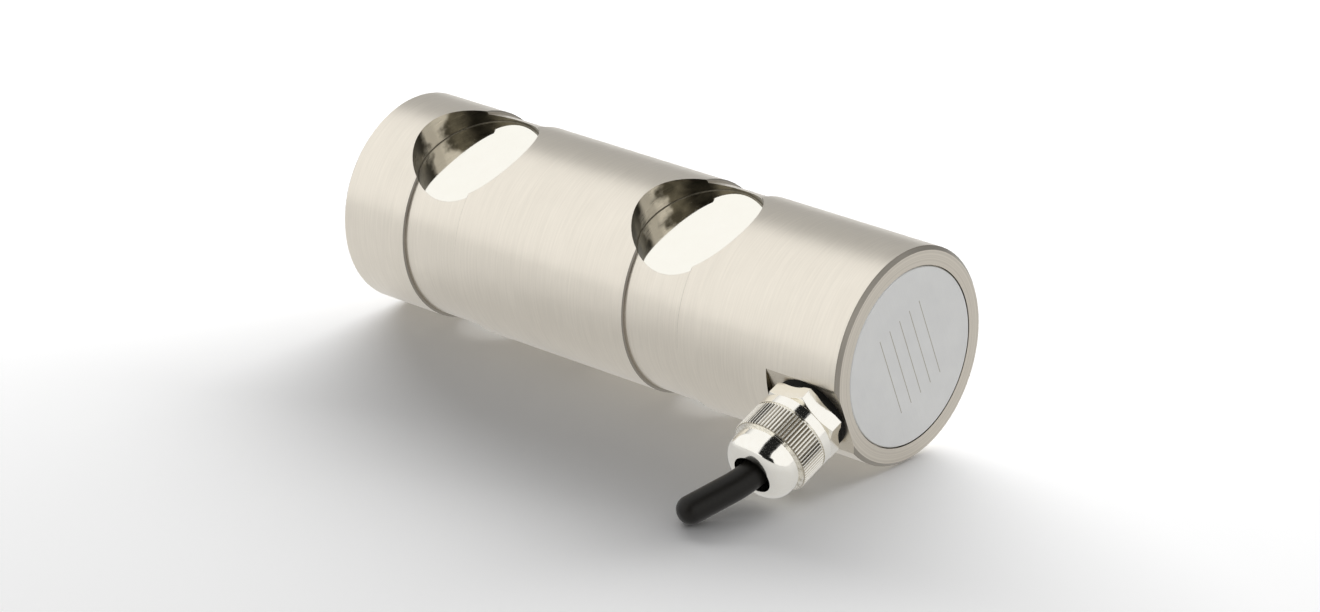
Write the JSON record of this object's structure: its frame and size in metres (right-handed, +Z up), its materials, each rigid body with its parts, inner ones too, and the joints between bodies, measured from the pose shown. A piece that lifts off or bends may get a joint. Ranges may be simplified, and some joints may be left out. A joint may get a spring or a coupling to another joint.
{
  "type": "shear pin load cell",
  "caption": "Ground stainless clevis pin that measures its load: necked sections with round gauge recesses between plain lands, and a cable gland on a milled flat at one end.",
  "frame": {"origin": "middle of the load land on the axis of the pin", "axes": "+X along the pin towards the cable end, +Z up with the pin lying on its side and the gland pointing to -Y and down to the floor"},
  "size_m": [0.15, 0.0842, 0.05],
  "materials": {
    "pin_steel": "ground stainless steel, satin, warm grey",
    "cover_steel": "polished stainless disc, welded round its edge",
    "cover_plate": "fine matt bead-blasted stainless plate",
    "nickel_plate": "bright nickel plating on turned brass",
    "plain_steel": "zinc-plated steel",
    "tinned_brass": "tin-plated",
    "tinned_braid": "tinned copper braid",
    "circuit_board": "green solder mask on glass-fibre laminate",
    "chip_resistor": "black ceramic chips",
    "gauge_foil": "amber polyimide carrier with metal foil grids",
    "lead_sleeve": "white insulated wires in one sleeve",
    "seal_rubber": "black nitrile rubber",
    "cage_plastic": "black polyamide",
    "cable_jacket": "black smooth cable jacket, satin",
    "core_red": "red insulation",
    "core_black": "black insulation",
    "core_green": "green insulation",
    "core_white": "white insulation"
  },
  "bodies": {
    "root": {"pin_body": "pin_steel", "end_cover": "cover_plate", "end_cover_gasket": "seal_rubber", "terminal_board": "circuit_board", "board_spacers": "plain_steel", "board_screws": "plain_steel", "solder_posts": "tinned_brass", "trim_resistors": "chip_resistor", "gland_gasket": "seal_rubber", "gland_body": "nickel_plate", "cable_seal": "seal_rubber", "clamp_cage": "cage_plastic", "cap_nut": "nickel_plate", "cable_jacket": "cable_jacket", "cable_shield": "tinned_braid", "core_red": "core_red", "core_black": "core_black", "core_green": "core_green", "core_white": "core_white", "gauge_cover_near_front": "cover_steel", "strain_gauge_near_front": "gauge_foil", "solder_tab_near_front": "tinned_brass", "gauge_lead_near_front": "lead_sleeve", "gauge_cover_far_front": "cover_steel", "strain_gauge_far_front": "gauge_foil", "solder_tab_far_front": "tinned_brass", "gauge_lead_far_front": "lead_sleeve", "gauge_cover_near_rear": "cover_steel", "strain_gauge_near_rear": "gauge_foil", "solder_tab_near_rear": "tinned_brass", "gauge_lead_near_rear": "lead_sleeve", "gauge_cover_far_rear": "cover_steel", "strain_gauge_far_rear": "gauge_foil", "solder_tab_far_rear": "tinned_brass", "gauge_lead_far_rear": "lead_sleeve"}
  },
  "joints": []
}
